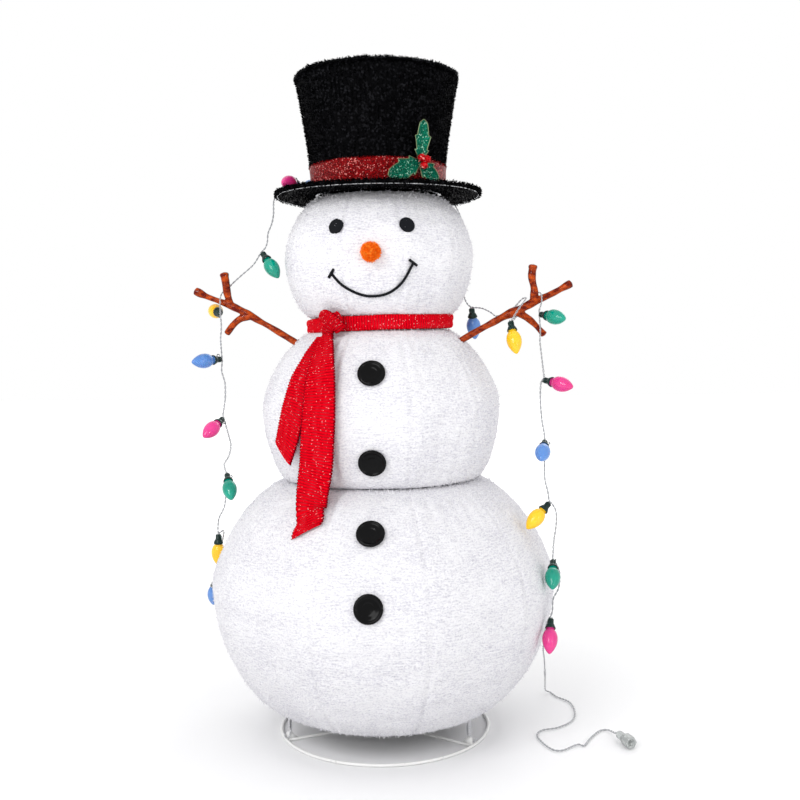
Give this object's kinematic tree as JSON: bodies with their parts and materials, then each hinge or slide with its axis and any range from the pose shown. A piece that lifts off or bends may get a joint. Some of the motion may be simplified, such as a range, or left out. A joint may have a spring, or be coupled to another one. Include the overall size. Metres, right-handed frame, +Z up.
{
  "type": "collapsible yard snowman",
  "caption": "Free-standing yard snowman that slides flat down a telescoping mast: cloth-covered sprung balls on a wire ring stand, top hat, scarf, twig arms and a string of light bulbs.",
  "frame": {"origin": "on the ground, on the mast's axis, at the middle of the base ring", "axes": "+Z up along the mast, +X towards the arm on the viewer's right, -Y towards the viewer, the way the face looks"},
  "size_m": [1.0051, 0.7832, 1.496],
  "materials": {
    "white_steel": "gloss white paint on steel wire",
    "spring_steel": "bright drawn wire",
    "mast_tube": "drawn tube, satin",
    "white_pile": "short looped pile with fine cross ribs",
    "strap": "woven tape with a wire hook",
    "black_tinsel": "shaggy cut tinsel",
    "red_glitter": "glitter ribbon",
    "green_glitter": "glitter on stiff leaf, pale edge",
    "red_berry": "glittered bead",
    "black_felt": "felt",
    "orange_tinsel": "shaggy cut tinsel",
    "black_gloss": "moulded, high gloss",
    "red_knit": "knitted rows with metal thread",
    "amber_twig": "moulded, translucent",
    "clear_wire": "clear sleeve on twisted wire",
    "clear_plug": "clear moulding",
    "bulb_pink": "opaque gloss lens in a dark green socket",
    "bulb_green": "opaque gloss lens in a dark green socket",
    "bulb_yellow": "opaque gloss lens in a dark green socket",
    "bulb_blue": "opaque gloss lens in a dark green socket"
  },
  "bodies": {
    "stand": {"base_ring": "white_steel", "mast_lower": "mast_tube", "tie_down_1": "strap", "tie_down_2": "strap", "tie_down_3": "strap", "bottom_hoop": "spring_steel", "lower_ribs": "spring_steel", "lower_cover": "white_pile", "scarf_tail_long": "red_knit", "scarf_tail_short": "red_knit", "light_cord": "clear_wire", "plug": "clear_plug"},
    "mast_mid": {"mast_middle": "mast_tube"},
    "waist": {"waist_hoop": "spring_steel", "middle_ribs": "spring_steel", "middle_cover": "white_pile"},
    "shoulder": {"shoulder_hoop": "spring_steel", "bulb_06": "bulb_green", "bulb_07": "bulb_yellow", "bulb_08": "bulb_blue", "bulb_15": "bulb_yellow"},
    "arm_left": {"arm_left": "amber_twig"},
    "arm_right": {"arm_right": "amber_twig"},
    "neck": {"neck_hoop": "spring_steel", "head_ribs": "spring_steel", "head_cover": "white_pile", "eye_left": "black_felt", "eye_right": "black_felt", "nose": "orange_tinsel", "mouth": "black_felt", "scarf_collar": "red_knit", "scarf_knot": "red_knit"},
    "hat": {"mast_upper": "mast_tube", "hat_hub": "spring_steel", "hat_brim": "black_tinsel", "hat_crown": "black_tinsel", "hat_band": "red_glitter", "holly_leaves": "green_glitter", "holly_berries": "red_berry", "bulb_10": "bulb_green", "bulb_11": "bulb_yellow", "bulb_12": "bulb_blue", "bulb_13": "bulb_pink"},
    "hat_lid": {"hat_top": "black_tinsel"},
    "button_1": {"button_1": "black_gloss"},
    "button_2": {"button_2": "black_gloss"},
    "button_3": {"button_3": "black_gloss"},
    "button_4": {"button_4": "black_gloss"},
    "bulb_01": {"bulb_01": "bulb_pink"},
    "bulb_02": {"bulb_02": "bulb_green"},
    "bulb_03": {"bulb_03": "bulb_yellow"},
    "bulb_04": {"bulb_04": "bulb_blue"},
    "bulb_05": {"bulb_05": "bulb_pink"},
    "bulb_09": {"bulb_09": "bulb_pink"},
    "bulb_14": {"bulb_14": "bulb_green"},
    "bulb_16": {"bulb_16": "bulb_blue"},
    "bulb_17": {"bulb_17": "bulb_pink"},
    "bulb_18": {"bulb_18": "bulb_green"},
    "bulb_19": {"bulb_19": "bulb_yellow"},
    "bulb_20": {"bulb_20": "bulb_blue"}
  },
  "joints": [
    {"name": "collapse", "type": "slide", "parent": "stand", "child": "hat", "axis": [0, 0, 1], "range_m": [-0.785, 0], "deforming": ["lower_ribs", "lower_cover", "middle_ribs", "middle_cover", "head_ribs", "head_cover", "eye_left", "eye_right", "nose", "mouth", "scarf_collar", "scarf_knot", "scarf_tail_long", "scarf_tail_short", "light_cord", "hat_crown", "hat_band"]},
    {"name": "mast_middle_slide", "type": "slide", "parent": "stand", "child": "mast_mid", "axis": [0, 0, 1], "range_m": [-0.393, 0]},
    {"name": "waist_drop", "type": "slide", "parent": "stand", "child": "waist", "axis": [0, 0, 1], "range_m": [-0.3704, 0]},
    {"name": "shoulder_drop", "type": "slide", "parent": "stand", "child": "shoulder", "axis": [0, 0, 1], "range_m": [-0.5925, 0]},
    {"name": "neck_drop", "type": "slide", "parent": "stand", "child": "neck", "axis": [0, 0, 1], "range_m": [-0.597, 0]},
    {"name": "hat_top_drop", "type": "slide", "parent": "stand", "child": "hat_lid", "axis": [0, 0, 1], "range_m": [-0.8993, 0]},
    {"name": "button_1_drop", "type": "slide", "parent": "stand", "child": "button_1", "axis": [0, 0, 1], "range_m": [-0.5253, 0]},
    {"name": "button_2_drop", "type": "slide", "parent": "stand", "child": "button_2", "axis": [0, 0, 1], "range_m": [-0.4114, 0]},
    {"name": "button_3_drop", "type": "slide", "parent": "stand", "child": "button_3", "axis": [0, 0, 1], "range_m": [-0.3153, 0]},
    {"name": "button_4_drop", "type": "slide", "parent": "stand", "child": "button_4", "axis": [0, 0, 1], "range_m": [-0.2233, 0]},
    {"name": "bulb_01_drop", "type": "slide", "parent": "stand", "child": "bulb_01", "axis": [0, 0, 1], "range_m": [-0.1823, 0]},
    {"name": "bulb_02_drop", "type": "slide", "parent": "stand", "child": "bulb_02", "axis": [0, 0, 1], "range_m": [-0.2439, 0]},
    {"name": "bulb_03_drop", "type": "slide", "parent": "stand", "child": "bulb_03", "axis": [0, 0, 1], "range_m": [-0.341, 0]},
    {"name": "bulb_04_drop", "type": "slide", "parent": "stand", "child": "bulb_04", "axis": [0, 0, 1], "range_m": [-0.428, 0]},
    {"name": "bulb_05_drop", "type": "slide", "parent": "stand", "child": "bulb_05", "axis": [0, 0, 1], "range_m": [-0.5119, 0]},
    {"name": "bulb_09_drop", "type": "slide", "parent": "stand", "child": "bulb_09", "axis": [0, 0, 1], "range_m": [-0.7141, 0]},
    {"name": "bulb_14_drop", "type": "slide", "parent": "stand", "child": "bulb_14", "axis": [0, 0, 1], "range_m": [-0.6913, 0]},
    {"name": "bulb_16_drop", "type": "slide", "parent": "stand", "child": "bulb_16", "axis": [0, 0, 1], "range_m": [-0.5477, 0]},
    {"name": "bulb_17_drop", "type": "slide", "parent": "stand", "child": "bulb_17", "axis": [0, 0, 1], "range_m": [-0.4607, 0]},
    {"name": "bulb_18_drop", "type": "slide", "parent": "stand", "child": "bulb_18", "axis": [0, 0, 1], "range_m": [-0.3755, 0]},
    {"name": "bulb_19_drop", "type": "slide", "parent": "stand", "child": "bulb_19", "axis": [0, 0, 1], "range_m": [-0.2802, 0]},
    {"name": "bulb_20_drop", "type": "slide", "parent": "stand", "child": "bulb_20", "axis": [0, 0, 1], "range_m": [-0.2034, 0]},
    {"name": "arm_left_turn", "type": "hinge", "parent": "shoulder", "child": "arm_left", "pos_m": [-0.172, -0.05, 0.881], "axis": [-0.8581, 0, 0.5135], "range_deg": [-30, 30]},
    {"name": "arm_right_turn", "type": "hinge", "parent": "shoulder", "child": "arm_right", "pos_m": [0.17, -0.05, 0.881], "axis": [0.8881, 0, 0.4596], "range_deg": [-30, 30]}
  ],
  "couplings": [
    {"joint": "mast_middle_slide", "follows": "collapse", "ratio": 0.5},
    {"joint": "waist_drop", "follows": "collapse", "ratio": 0.47124},
    {"joint": "shoulder_drop", "follows": "collapse", "ratio": 0.75414},
    {"joint": "neck_drop", "follows": "collapse", "ratio": 0.75985},
    {"joint": "hat_top_drop", "follows": "collapse", "ratio": 1.145},
    {"joint": "button_1_drop", "follows": "collapse", "ratio": 0.66854},
    {"joint": "button_2_drop", "follows": "collapse", "ratio": 0.52341},
    {"joint": "button_3_drop", "follows": "collapse", "ratio": 0.40096},
    {"joint": "button_4_drop", "follows": "collapse", "ratio": 0.28382},
    {"joint": "bulb_01_drop", "follows": "collapse", "ratio": 0.23154},
    {"joint": "bulb_02_drop", "follows": "collapse", "ratio": 0.31},
    {"joint": "bulb_03_drop", "follows": "collapse", "ratio": 0.43373},
    {"joint": "bulb_04_drop", "follows": "collapse", "ratio": 0.54461},
    {"joint": "bulb_05_drop", "follows": "collapse", "ratio": 0.65141},
    {"joint": "bulb_09_drop", "follows": "collapse", "ratio": 0.90904},
    {"joint": "bulb_14_drop", "follows": "collapse", "ratio": 0.88},
    {"joint": "bulb_16_drop", "follows": "collapse", "ratio": 0.69707},
    {"joint": "bulb_17_drop", "follows": "collapse", "ratio": 0.58619},
    {"joint": "bulb_18_drop", "follows": "collapse", "ratio": 0.47776},
    {"joint": "bulb_19_drop", "follows": "collapse", "ratio": 0.35628},
    {"joint": "bulb_20_drop", "follows": "collapse", "ratio": 0.25845}
  ]
}
